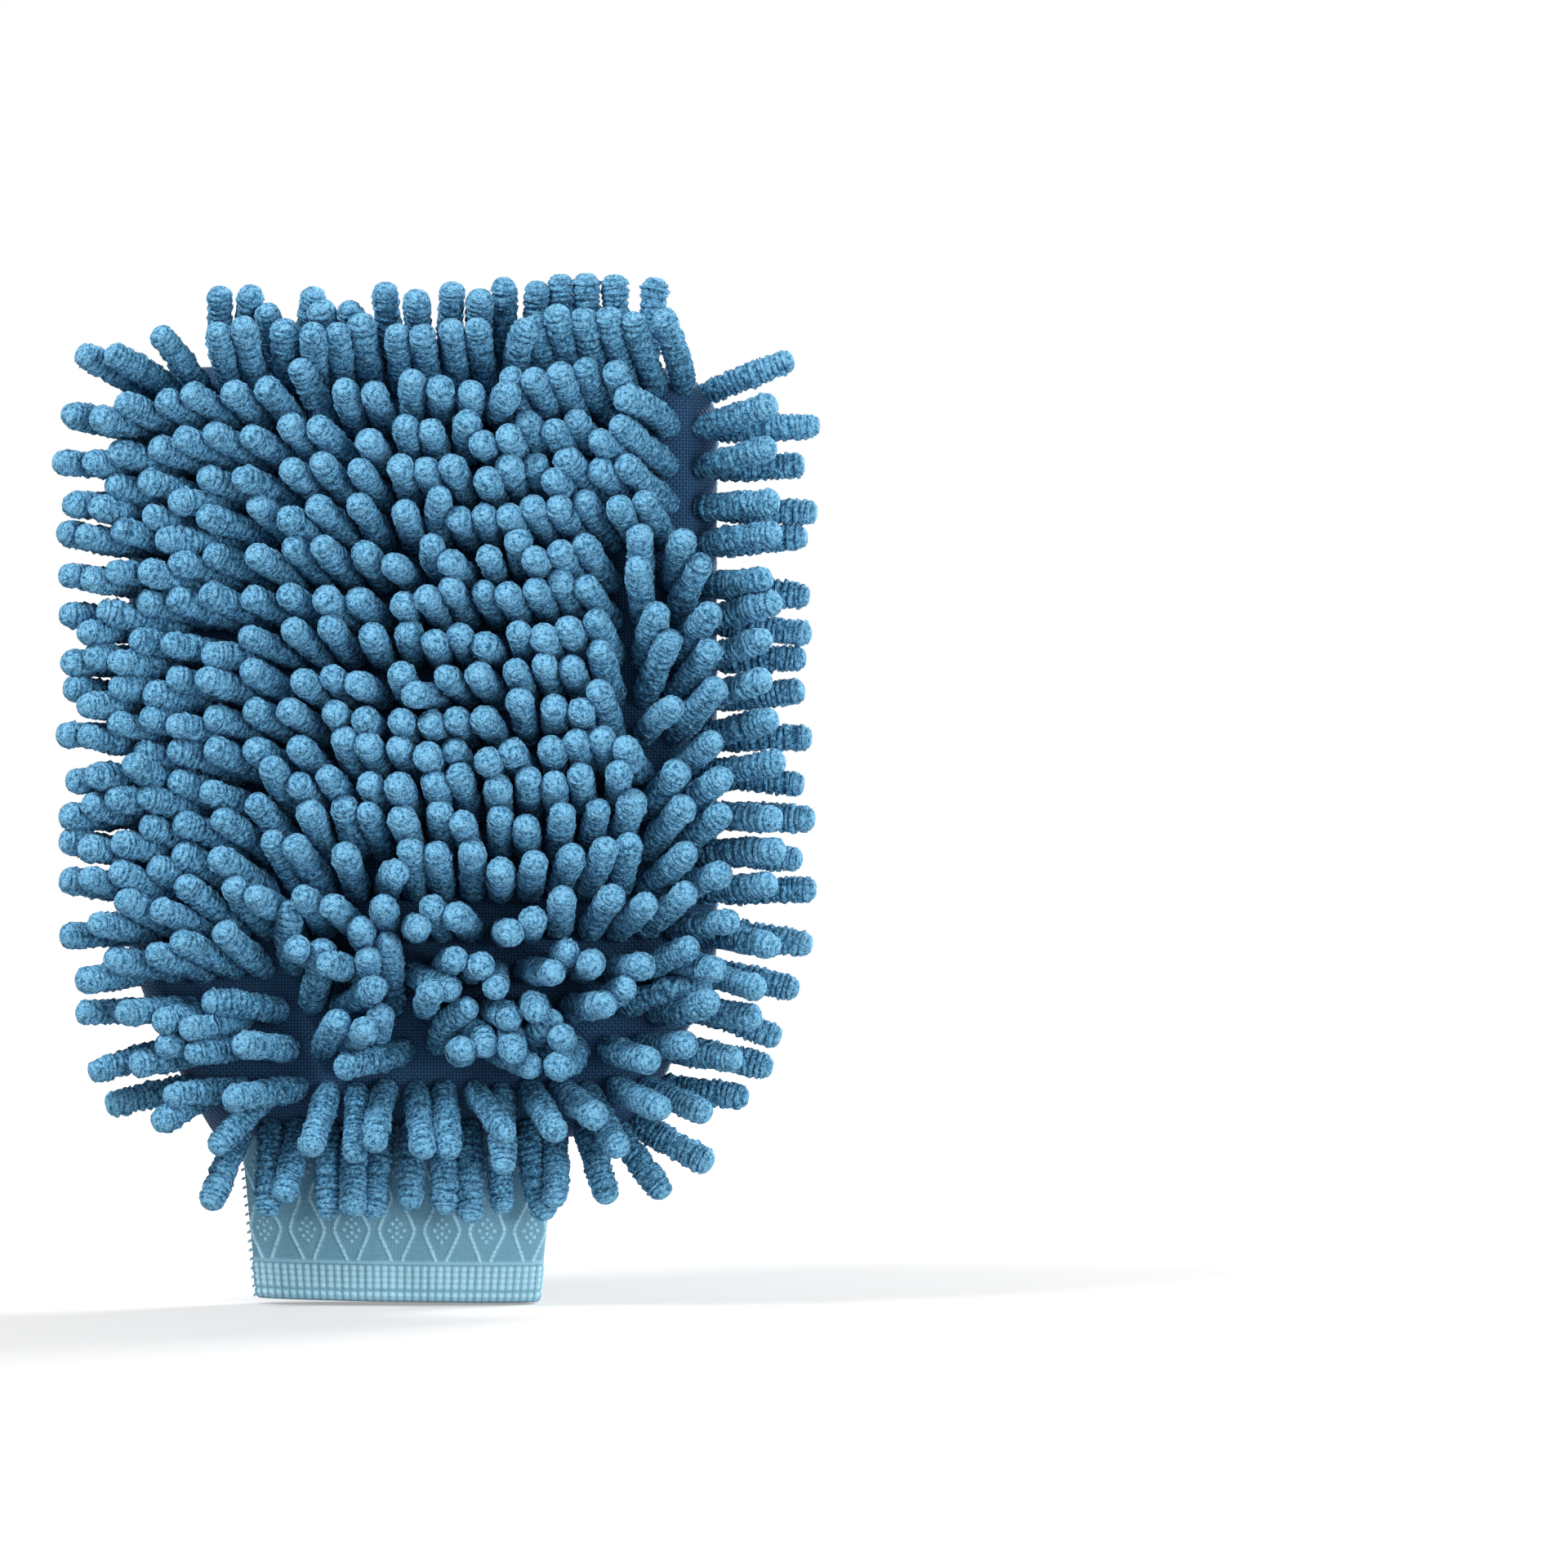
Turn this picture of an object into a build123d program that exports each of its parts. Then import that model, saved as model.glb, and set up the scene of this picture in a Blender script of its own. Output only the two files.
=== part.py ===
"""Chenille and terry wash mitt, held upright on its cuff as a hand wears it.

+Z runs to the fingertips, -Y is the chenille washing face and +Y is the terry back.
The origin is the centre of the cuff's mouth. All sizes are in millimetres.
"""

from build123d import *
import math
import os

# bag: two cloths sewn round the edge, each flat for seam_band beside the seam and then rounded
bag_width = 165.0
bag_bottom_width = 117.0
bag_bottom_z = 46.0
bag_height = 216.0
heel_height = 53.0
bag_depth = 28.0
seam_band = 2.0
top_corner_radius = 17.0
bottom_corner_radius = 10.0
taper_corner_radius = 40.0
bag_shift_x = 7.0
cloth_thickness = 1.5

# seam allowances turned inside the bag
allowance_width = 6.0
allowance_start_above_cuff = 16.0
thread_thickness = 0.8
seat_gap = 0.15

# cuff: a knitted oval tube in the bag's mouth that narrows to a folded welt
heel_past_cuff = 14.5
cuff_ease_in_bag = 1.0
cuff_width_taper = 9.0
cuff_depth_taper = 2.0
cuff_wall = 1.8
cuff_tuck_in = 14.0
welt_height = 9.0
welt_wall = 2.6
welt_round = 0.7

# covered rubber yarns inside the cuff
elastic_size = 0.6
elastic_pitch = 3.0

# side seam of the cuff
stitch_length = 4.5
stitch_size = 0.7
stitch_pitch = 2.5
first_stitch_z = 2.0

# chenille noodles: pinched where the cloth holds them, round at the tip
noodle_diameter = 7.0
noodle_neck_diameter = 5.0
noodle_neck_length = 4.0
noodle_length = 27.0
noodle_gap = 0.9
row_gap = 3.4
root_depth = 2.0
right_turn = 72.0
left_turn = 50.0
top_turn = 72.0
mouth_turn = 38.0
side_lean = 0.12
side_fan = 0.2
height_fan = 0.45

bag_top_z = bag_bottom_z + bag_height
taper_top_z = bag_bottom_z + heel_height
half_width = bag_width / 2
half_bottom = bag_bottom_width / 2
half_depth = bag_depth / 2
bag_edge_radius = half_depth - seam_band
bag_middle_z = (bag_top_z + bag_bottom_z) / 2
bag_half_height = (bag_top_z - bag_bottom_z) / 2
cuff_top_z = bag_bottom_z + cuff_tuck_in
cuff_top_width = bag_bottom_width - 2 * heel_past_cuff
cuff_top_depth = bag_depth - 2 * (2 * cloth_thickness + cuff_ease_in_bag)
noodle_pitch = noodle_diameter + noodle_gap
row_pitch = noodle_diameter + row_gap
far = 4 * (bag_top_z + bag_width)

front_plane = Plane(origin=(bag_shift_x, 0, 0), x_dir=(1, 0, 0), z_dir=(0, -1, 0))


def bag_outline(inset):
    """The bag's outline on the seam plane, drawn in by inset."""
    with BuildSketch() as outline:
        with BuildLine():
            Polyline(
                (-half_bottom, bag_bottom_z),
                (half_bottom, bag_bottom_z),
                (half_width, taper_top_z),
                (half_width, bag_top_z),
                (-half_width, bag_top_z),
                (-half_width, taper_top_z),
                close=True,
            )
        make_face()
        fillet(outline.vertices().group_by(Axis.Y)[1], taper_corner_radius)
        fillet(outline.vertices().group_by(Axis.Y)[0], bottom_corner_radius)
        fillet(outline.vertices().group_by(Axis.Y)[-1], top_corner_radius)
        if inset:
            offset(amount=-inset, kind=Kind.INTERSECTION)
    return outline.sketch


def bag_body(inset):
    """The closed bag, drawn in by inset on every side, with rounded edges."""
    with BuildPart() as body:
        with BuildSketch(front_plane):
            add(bag_outline(inset))
        extrude(amount=half_depth - inset, both=True)
        faces = body.faces().filter_by(Axis.Y)
        fillet(faces.edges(), bag_edge_radius - inset)
    return body.part


def flat_ring(outer_inset, inner_inset, thickness):
    """A flat ring that follows the bag's outline, open where the cuff enters."""
    with BuildPart() as ring:
        with BuildSketch(front_plane):
            add(bag_outline(outer_inset))
            add(bag_outline(inner_inset), mode=Mode.SUBTRACT)
        extrude(amount=thickness / 2, both=True)
        open_below = cuff_top_z + allowance_start_above_cuff
        with Locations((bag_shift_x, 0, open_below)):
            Box(far, far, far, align=(Align.CENTER, Align.CENTER, Align.MAX), mode=Mode.SUBTRACT)
    return ring.part


def cuff_size(z):
    """The cuff's outer width and depth at height z, full where it meets the bag's mouth."""
    narrowing = 1 - z / bag_bottom_z
    width = cuff_top_width - narrowing * cuff_width_taper
    depth = cuff_top_depth - narrowing * cuff_depth_taper
    return width, depth


def oval_tube(bottom_z, top_z, outer_growth, inner_growth):
    """An oval tube that follows the cuff, its two walls moved out from the cuff's outside."""
    with BuildPart() as tube:
        for growth, how in ((outer_growth, Mode.ADD), (inner_growth, Mode.SUBTRACT)):
            if growth is None:
                continue
            for z in (bottom_z, top_z):
                width, depth = cuff_size(z)
                with BuildSketch(Plane.XY.offset(z)):
                    Ellipse(width / 2 + growth, depth / 2 + growth)
            loft(mode=how)
    return tube.part


# bag: front and back cloth, each with its seam allowance and its share of the mouth's
bag_solid = bag_body(0)
bag_hollow = bag_body(cloth_thickness)
mouth_hole = oval_tube(0, cuff_top_z, seat_gap, None)
mouth_outside = oval_tube(0, cuff_top_z, seat_gap + cloth_thickness, None)

with BuildPart() as bag_inside:
    add(bag_hollow)
    add(flat_ring(0, cloth_thickness + allowance_width, 2 * cloth_thickness), mode=Mode.SUBTRACT)
    add(mouth_outside, mode=Mode.SUBTRACT)

with BuildPart() as bag_shell:
    add(bag_solid)
    add(bag_inside.part, mode=Mode.SUBTRACT)
    add(mouth_hole, mode=Mode.SUBTRACT)

with BuildPart() as chenille_ground_cloth:
    add(bag_shell.part)
    split(bisect_by=Plane.XZ, keep=Keep.TOP)
chenille_ground_cloth.part.label = "chenille_ground_cloth"

with BuildPart() as terry_back_panel:
    add(bag_shell.part)
    split(bisect_by=Plane.XZ, keep=Keep.BOTTOM)
terry_back_panel.part.label = "terry_back_panel"

# overlock thread over the inner edge of the panels' seam allowances
thread_inset = cloth_thickness + allowance_width + seat_gap
with BuildPart() as panel_seam_thread:
    add(flat_ring(thread_inset, thread_inset + thread_thickness, 2 * cloth_thickness))
panel_seam_thread.part.label = "panel_seam_thread"

# cuff: the knitted tube, thicker at the folded welt
with BuildPart() as cuff_band:
    add(oval_tube(0, cuff_top_z, 0, -cuff_wall))
    add(oval_tube(0, welt_height, 0, -welt_wall))
    fillet(cuff_band.faces().sort_by(Axis.Z)[0].edges(), welt_round)
cuff_band.part.label = "cuff_band"

# overlock thread on top of the edges of the cuff and the bag's mouth, sewn together
with BuildPart() as cuff_join_thread:
    thread_bottom = cuff_top_z + seat_gap
    outside = seat_gap + cloth_thickness
    add(oval_tube(thread_bottom, thread_bottom + thread_thickness, outside, -cuff_wall))
cuff_join_thread.part.label = "cuff_join_thread"

# covered rubber yarns, laid in rings against the inside of the cuff above the welt
yarn_outside = -cuff_wall - seat_gap
yarn_count = int((cuff_top_z - welt_height - elastic_pitch) / elastic_pitch)
with BuildPart() as cuff_elastic_yarns:
    for turn in range(yarn_count):
        yarn_z = welt_height + elastic_pitch * (turn + 1)
        add(oval_tube(yarn_z, yarn_z + elastic_size, yarn_outside, yarn_outside - elastic_size))
cuff_elastic_yarns.part.label = "cuff_elastic_yarns"

# overlock stitches up the cuff's side seam, each a short bar on the outside of the wall
stitch_count = int((bag_bottom_z - first_stitch_z) / stitch_pitch)
with BuildPart() as cuff_side_seam_thread:
    for stitch in range(stitch_count):
        stitch_z = first_stitch_z + stitch * stitch_pitch
        side_x = -cuff_size(stitch_z)[0] / 2 - seat_gap - stitch_size / 2
        with Locations(Location((side_x, 0, stitch_z), (90, 0, 0))):
            Cylinder(stitch_size / 2, stitch_length)
cuff_side_seam_thread.part.label = "cuff_side_seam_thread"


def half_width_at(z):
    """Half the width of the bag's outline at height z, its top corners rounded."""
    into_corner = max(0.0, z - (bag_top_z - top_corner_radius))
    corner = top_corner_radius - math.sqrt(top_corner_radius**2 - into_corner**2)
    into_taper = max(0.0, (taper_top_z - z) / (taper_top_z - bag_bottom_z))
    return half_width - corner - into_taper * (half_width - half_bottom)


def over_the_edge(travel, half_span):
    """Where a path along the bag's face lands: its distance out and how far it has turned.

    The path runs flat to the rounded edge and then round it, so its end is never past
    half_span.
    """
    flat = half_span - bag_edge_radius
    turn = max(0.0, abs(travel) - flat) / bag_edge_radius
    place = min(abs(travel), flat) + bag_edge_radius * math.sin(turn)
    return math.copysign(place, travel), math.copysign(turn, travel)


def noodle_place(travel_x, travel_z):
    """The plane a noodle stands on, rooted just inside the cloth's face."""
    up, turn_z = over_the_edge(travel_z, bag_half_height)
    z = bag_middle_z + up
    x, turn_x = over_the_edge(travel_x, half_width_at(z))
    depth = half_depth - bag_edge_radius * (1 - math.cos(turn_x) * math.cos(turn_z))
    out = Vector(math.sin(turn_x), -math.cos(turn_x) * math.cos(turn_z), math.sin(turn_z))
    fan = Vector(
        side_lean + side_fan * travel_x / half_width,
        0,
        height_fan * travel_z / bag_half_height,
    )
    way = (out.normalized() + fan).normalized()
    face = Vector(x + bag_shift_x, -depth, z)
    return Plane(origin=face - way * root_depth, z_dir=way)


# one noodle, standing along Z on its root
with BuildPart() as noodle:
    with BuildSketch(Plane.XZ):
        with BuildLine():
            radius = noodle_diameter / 2
            neck_radius = noodle_neck_diameter / 2
            neck_top = root_depth + noodle_neck_length
            tip = root_depth + noodle_length
            Polyline(
                (0, tip), (0, 0), (neck_radius, 0), (radius, neck_top), (radius, tip - radius)
            )
            RadiusArc((radius, tip - radius), (0, tip), -radius)
        make_face()
    revolve(axis=Axis.Z)

# rows of noodles from the mouth to the fingertips, each noodle seated on the cloth's face
flat_half_height = bag_half_height - bag_edge_radius
lowest_travel = -flat_half_height - bag_edge_radius * math.radians(mouth_turn)
highest_travel = flat_half_height + bag_edge_radius * math.radians(top_turn)
row_count = int((highest_travel - lowest_travel) / row_pitch) + 1
noodle_rows = []
noodle_total = 0
for row in range(row_count):
    travel_z = highest_travel - (row_count - 1 - row) * row_pitch
    up, turn_z = over_the_edge(travel_z, bag_half_height)
    flat = half_width_at(bag_middle_z + up) - bag_edge_radius
    rounding = bag_edge_radius * math.cos(turn_z)
    travel_right = flat + rounding * math.radians(right_turn)
    travel_left = flat + rounding * math.radians(left_turn)
    column_count = int((travel_right + travel_left) / noodle_pitch) + 1
    with BuildPart() as noodle_row:
        for column in range(column_count):
            with Locations(noodle_place(travel_right - column * noodle_pitch, travel_z)):
                add(noodle.part)
        add(bag_solid, mode=Mode.SUBTRACT)
        add(mouth_outside, mode=Mode.SUBTRACT)
    noodle_row.part.label = f"noodle_row_{row + 1:02d}"
    noodle_rows.append(noodle_row.part)
    noodle_total += column_count

os.makedirs("parts", exist_ok=True)
pieces = [
    chenille_ground_cloth.part,
    terry_back_panel.part,
    panel_seam_thread.part,
    cuff_band.part,
    cuff_join_thread.part,
    cuff_elastic_yarns.part,
    cuff_side_seam_thread.part,
]
for piece in pieces + noodle_rows:
    export_step(piece, f"parts/{piece.label}.step")
print(len(pieces) + row_count, "nodes,", noodle_total, "noodles")
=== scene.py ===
import math

import bmesh
import bpy
import numpy as np
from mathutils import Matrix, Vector


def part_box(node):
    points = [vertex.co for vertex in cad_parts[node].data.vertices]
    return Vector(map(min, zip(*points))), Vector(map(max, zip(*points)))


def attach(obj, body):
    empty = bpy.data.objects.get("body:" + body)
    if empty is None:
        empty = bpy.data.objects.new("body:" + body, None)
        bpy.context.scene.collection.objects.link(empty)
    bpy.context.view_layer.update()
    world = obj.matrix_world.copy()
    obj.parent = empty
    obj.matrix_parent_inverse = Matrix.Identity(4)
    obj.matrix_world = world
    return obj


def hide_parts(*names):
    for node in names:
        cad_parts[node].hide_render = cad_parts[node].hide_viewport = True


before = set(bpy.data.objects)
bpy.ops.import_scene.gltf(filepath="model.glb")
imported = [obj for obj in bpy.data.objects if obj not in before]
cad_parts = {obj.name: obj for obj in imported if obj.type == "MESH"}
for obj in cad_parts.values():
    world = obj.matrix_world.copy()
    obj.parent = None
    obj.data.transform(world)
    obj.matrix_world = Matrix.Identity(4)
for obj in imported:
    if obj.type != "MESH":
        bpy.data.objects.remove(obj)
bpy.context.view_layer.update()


# ---------------------------------------------------------------------------------------
# Ground cloth: the chenille side's base, a dark blue plain weave cut to the mitt's outline
# and sewn to the terry panel round its edge. It shows only where the pile parts.

MM = 0.001

cloth_low, cloth_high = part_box("chenille_ground_cloth")
_, terry_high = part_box("terry_back_panel")
middle_x = (cloth_low[0] + cloth_high[0]) / 2
middle_z = (cloth_low[2] + cloth_high[2]) / 2
half_width = (cloth_high[0] - cloth_low[0]) / 2
half_height = (cloth_high[2] - cloth_low[2]) / 2
front_depth = -cloth_low[1]
back_depth = terry_high[1]
mouth_z = cloth_low[2]
fingertip_z = cloth_high[2]
edge_round = 12 * MM
corner_round = 17 * MM
taper_height = 53 * MM
taper_in = 24 * MM
heel_curve = 1.25
seam_tuck = 1.0 * MM
seam_tuck_reach = 1.2 * MM


def outline_half_width(z):
    """Half the bag's width at height z, with its top corners rounded and its heel tapered."""
    into_corner = np.clip(z - (fingertip_z - corner_round), 0, corner_round)
    corner = corner_round - np.sqrt(corner_round**2 - into_corner**2)
    into_taper = np.clip((mouth_z + taper_height - z) / taper_height, 0, 1)
    return half_width - corner - taper_in * into_taper**heel_curve


def round_the_edge(travel, half_span):
    """Distance out and angle turned by a path that runs flat and then over a rounded edge."""
    flat = half_span - edge_round
    turn = np.clip((np.abs(travel) - flat) / edge_round, 0, math.pi / 2)
    out = np.minimum(np.abs(travel), flat) + edge_round * np.sin(turn)
    return np.sign(travel) * out, np.sign(travel) * turn


def bag_surface(travel_x, travel_z, depth, side):
    """Points of the bag's face, and its outward normals. side is -1 in front and 1 behind."""
    up, turn_z = round_the_edge(travel_z, half_height)
    z = middle_z + up
    x, turn_x = round_the_edge(travel_x, outline_half_width(z))
    y = side * depth * np.cos(turn_x) * np.cos(turn_z)
    normal = np.stack(
        [np.sin(turn_x), side * np.cos(turn_x) * np.cos(turn_z), np.sin(turn_z)], -1
    )
    normal /= np.linalg.norm(normal, axis=-1, keepdims=True)
    tuck = seam_tuck * np.exp(-np.abs(y) / seam_tuck_reach)
    point = np.stack([middle_x + x, y, z], -1) - tuck[..., None] * normal
    return point, normal


def positions(mesh):
    flat = np.empty(len(mesh.vertices) * 3)
    mesh.vertices.foreach_get("co", flat)
    return flat.reshape(-1, 3)


def move_to(mesh, points):
    mesh.vertices.foreach_set("co", points.astype(np.float32).ravel())
    mesh.update()


def smooth(obj):
    obj.data.polygons.foreach_set("use_smooth", [True] * len(obj.data.polygons))


def new_piece(name, bm):
    mesh = bpy.data.meshes.new(name)
    bm.to_mesh(mesh)
    bm.free()
    obj = bpy.data.objects.new(name, mesh)
    bpy.context.collection.objects.link(obj)
    return obj


def map_cloth(piece, map_name, across, up):
    """Writes each point's place on the flat cloth, in metres, into a UV map."""
    corner = np.empty(len(piece.data.loops), dtype=np.int64)
    piece.data.loops.foreach_get("vertex_index", corner)
    flat = np.stack([across, up], -1)[corner]
    piece.data.uv_layers[map_name].uv.foreach_set("vector", flat.astype(np.float32).ravel())


def cloth_on_bag(name, columns, rows, depth, side):
    """A grid of cloth laid over one face of the bag, with its travel in metres as its UV map.

    Gives the piece, its points and its outward normals.
    """
    bm = bmesh.new()
    bm.loops.layers.uv.new("Travel")
    bmesh.ops.create_grid(bm, x_segments=columns, y_segments=rows, size=1)
    if side > 0:
        bmesh.ops.reverse_faces(bm, faces=bm.faces)
    piece = new_piece(name, bm)
    grid = positions(piece.data)
    edge_travel = edge_round * math.pi / 2
    travel_z = grid[:, 1] * (half_height - edge_round + edge_travel)
    up, _ = round_the_edge(travel_z, half_height)
    reach = outline_half_width(middle_z + up) - edge_round + edge_travel
    travel_x = grid[:, 0] * reach
    point, normal = bag_surface(travel_x, travel_z, depth, side)
    move_to(piece.data, point)
    map_cloth(piece, "Travel", travel_x, travel_z)
    smooth(piece)
    return piece, point, normal


def new_material(name, colour, roughness, sheen=0.0, sheen_tint=(1, 1, 1), specular=0.3):
    material = bpy.data.materials.new(name)
    material.use_nodes = True
    shader = material.node_tree.nodes["Principled BSDF"]
    shader.inputs["Base Color"].default_value = (*colour, 1)
    shader.inputs["Roughness"].default_value = roughness
    shader.inputs["Specular IOR Level"].default_value = specular
    shader.inputs["Sheen Weight"].default_value = sheen
    shader.inputs["Sheen Roughness"].default_value = 0.45
    shader.inputs["Sheen Tint"].default_value = (*sheen_tint, 1)
    return material


def node(material, kind, inputs=None, **settings):
    """Adds a shader node, sets it and links or sets its inputs."""
    made = material.node_tree.nodes.new(kind)
    for key, value in settings.items():
        setattr(made, key, value)
    for key, value in (inputs or {}).items():
        if isinstance(value, bpy.types.NodeSocket):
            material.node_tree.links.new(value, made.inputs[key])
        else:
            made.inputs[key].default_value = value
    return made


def maths(material, operation, a, b=0.0):
    return node(material, "ShaderNodeMath", {0: a, 1: b}, operation=operation).outputs[0]


def ramp(material, factor, stops):
    """A colour ramp over (place, colour) stops."""
    made = node(material, "ShaderNodeValToRGB", {"Fac": factor})
    elements = made.color_ramp.elements
    while len(elements) < len(stops):
        elements.new(0.5)
    for element, (place, colour) in zip(elements, stops):
        element.position = place
        element.color = (*colour, 1)
    return made.outputs["Color"]


def into_shader(material, socket, value):
    shader = material.node_tree.nodes["Principled BSDF"]
    material.node_tree.links.new(value, shader.inputs[socket])


def bump(material, height, distance, strength=1.0, below=None):
    inputs = {"Height": height, "Distance": distance, "Strength": strength}
    if below is not None:
        inputs["Normal"] = below
    return node(material, "ShaderNodeBump", inputs).outputs["Normal"]


weave_columns, weave_rows = 90, 115
ground_cloth, _, _ = cloth_on_bag(
    "woven_ground_cloth", weave_columns, weave_rows, front_depth, -1
)
weave = new_material("woven ground cloth", (0.03, 0.12, 0.27), 0.85, sheen=0.15)
yarn_pitch = 0.9 * MM
travel = node(weave, "ShaderNodeUVMap", uv_map="Travel").outputs["UV"]
split_travel = node(weave, "ShaderNodeSeparateXYZ", {"Vector": travel})
warp, weft = (
    maths(weave, "SINE", maths(weave, "MULTIPLY", split_travel.outputs[way], math.pi / yarn_pitch))
    for way in ("X", "Y")
)
basket = maths(weave, "MULTIPLY", warp, weft)
thread = maths(weave, "ABSOLUTE", basket)
cloth_place = node(weave, "ShaderNodeTexCoord").outputs["Object"]
fleck = node(weave, "ShaderNodeTexNoise", {"Vector": cloth_place, "Scale": 4000.0, "Detail": 3.0})
shade = maths(weave, "MULTIPLY", thread, fleck.outputs["Fac"])
# the weave's shades are its own dark navy, darkened further as painted shade from the pile
# standing over it
weave_shades = [(0.0, (0.008, 0.035, 0.09)), (0.3, (0.02, 0.085, 0.19)), (0.6, (0.05, 0.16, 0.31))]
into_shader(weave, "Base Color", ramp(weave, shade, weave_shades))
into_shader(weave, "Normal", bump(weave, basket, 0.2 * MM))
ground_cloth.data.materials.append(weave)
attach(ground_cloth, "root")
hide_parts("chenille_ground_cloth")


# ---------------------------------------------------------------------------------------
# Chenille noodles: short lengths of chenille microfibre yarn, each held by one end in the
# ground cloth. They stand in rows, lean with the pile and part where a hand has pushed it.

dice = np.random.default_rng(7)
noodle_radius = 3.8 * MM
noodle_length = 27.5 * MM
noodle_pitch = 7.9 * MM
root_depth = 0.8 * MM
rings = 18
facets = 12
links = 8
# how far round the bag's edge the noodles go, towards each side, the fingertips and the cuff
turns_left, turns_right, turns_up, turns_down = (math.radians(a) for a in (50, 72, 72, 38))

row_names = sorted(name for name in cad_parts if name.startswith("noodle_row_"))
highest = half_height - edge_round + edge_round * turns_up
lowest = -(half_height - edge_round) - edge_round * turns_down
row_pitch = (highest - lowest) / (len(row_names) - 1)

# how the pile is combed: slopes across and up, at nine places across the mitt, a row for each
# height from the fingertips down to the cuff. Places and heights are in millimetres.
comb_across = np.array([-80, -70, -52, -27, 0, 27, 54, 69, 80])
comb_heights = np.array([262, 254, 228, 190, 152, 120, 97, 82, 71, 62, 46])
comb = np.array([
    [
        (0.4, -0.2), (0.2, -0.4), (0.0, -0.8), (0.0, -0.8), (0.0, -0.8),
        (0.0, -0.4), (0.0, 0.2), (0.1, 0.5), (0.7, 0.7),
    ],
    [
        (0.3, 0.1), (-0.8, 0.2), (-0.2, 0.5), (-0.05, 0.5), (0.0, 0.5),
        (-0.05, 0.5), (-0.3, 0.9), (-0.1, 0.9), (0.6, 0.3),
    ],
    [
        (0.25, 0.0), (-1.2, 0.05), (-1.35, 0.4), (-0.5, 0.5), (-0.1, 0.4),
        (-0.15, 0.35), (-0.7, 0.5), (-0.3, 0.3), (0.4, 0.0),
    ],
    [
        (0.25, 0.0), (-1.25, 0.05), (-1.4, 0.35), (-0.5, 0.35), (-0.15, 0.27),
        (-0.1, 0.25), (-0.45, 0.5), (0.5, 0.9), (0.4, 0.0),
    ],
    [
        (0.25, 0.0), (-1.2, 0.05), (-1.3, 0.35), (-0.4, 0.3), (-0.1, 0.25),
        (-0.1, 0.25), (0.0, 0.6), (0.8, 0.8), (0.4, 0.1),
    ],
    [
        (0.25, 0.1), (-1.15, 0.15), (-1.2, 0.6), (-0.2, 0.75), (0.0, 0.5),
        (0.0, 0.45), (0.3, 0.8), (0.9, 0.8), (0.4, 0.2),
    ],
    [
        (0.25, 0.0), (-0.9, 0.1), (-0.9, 0.5), (-0.35, 0.6), (0.0, 0.15),
        (0.0, 0.1), (0.3, 0.35), (0.9, 0.4), (0.5, 0.1),
    ],
    [
        (0.25, -0.1), (-0.9, 0.0), (-0.85, 0.35), (-0.2, 0.5), (0.0, 0.05),
        (0.05, 0.0), (0.5, 0.15), (1.0, 0.2), (0.5, -0.1),
    ],
    [
        (0.2, -0.2), (-0.95, -0.1), (-0.9, -0.05), (-0.1, 0.4), (-0.2, 0.1),
        (0.0, 0.1), (0.55, -0.1), (1.0, -0.2), (0.6, -0.2),
    ],
    [
        (0.2, -0.5), (-0.95, -0.35), (-0.95, -0.3), (-0.6, -0.55), (0.0, -0.8),
        (0.25, -0.7), (0.65, -0.6), (1.0, -0.6), (0.6, -0.6),
    ],
    [
        (-0.4, -0.9), (-0.8, -1.0), (-0.7, -1.2), (-0.2, -1.6), (0.0, -1.6),
        (0.2, -1.6), (0.6, -1.4), (0.9, -1.2), (0.8, -1.1),
    ],
])

# where the pile parts: two ends of a line in millimetres, from the mitt's middle and from
# the cuff's mouth, how far the parting reaches, and how hard it pushes the pile over
parting_core = 0.8
partings = [
    ((75, 258), (76, 238), 6, 1.1),
    ((76, 228), (77, 210), 6, 1.1),
    ((66, 149), (72, 146), 6, 1.3),
    ((-36, 86), (-32, 78), 6, 1.2),
    ((46, 75), (54, 70), 5, 0.9),
]


def pile_lean(x, z):
    """How far the pile leans across and up, as a slope, at a root. Lengths in millimetres."""
    column = np.interp(x, comb_across, np.arange(len(comb_across)))
    row = np.interp(-z, -comb_heights, np.arange(len(comb_heights)))
    left = np.minimum(column.astype(int), len(comb_across) - 2)
    above = np.minimum(row.astype(int), len(comb_heights) - 2)
    u, v = (column - left)[:, None], (row - above)[:, None]
    lean = (1 - v) * ((1 - u) * comb[above, left] + u * comb[above, left + 1])
    lean += v * ((1 - u) * comb[above + 1, left] + u * comb[above + 1, left + 1])
    root = np.stack([x, z], -1)
    for start, end, reach, push in partings:
        start, end = np.array(start, float), np.array(end, float)
        line = end - start
        share = np.clip(((root - start) @ line) / (line @ line), 0, 1)
        away = root - (start + share[:, None] * line)
        distance = np.linalg.norm(away, axis=1)
        strength = push * np.exp(-((distance / reach) ** 2) / 2)
        lean += away / (distance[:, None] + parting_core) * strength[:, None]
    return lean


root_slip, row_slip = 0.15 * MM, 0.2 * MM
roots, normals, row_of = [], [], []
for row in range(len(row_names)):
    travel_z = lowest + row * row_pitch
    up, turn_z = round_the_edge(np.array(travel_z), half_height)
    flat = outline_half_width(middle_z + up) - edge_round
    rounding = edge_round * math.cos(turn_z)
    first, last = -flat - rounding * turns_left, flat + rounding * turns_right
    count = int((last - first) / noodle_pitch) + 1
    travel_x = last - noodle_pitch * np.arange(count) + dice.normal(0, root_slip, count)
    point, normal = bag_surface(
        travel_x, travel_z + dice.normal(0, row_slip, count), front_depth, -1
    )
    roots.append(point - normal * root_depth)
    normals.append(normal)
    row_of += [row] * count
roots, normals, row_of = np.concatenate(roots), np.concatenate(normals), np.array(row_of)
noodle_count = len(roots)

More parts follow.
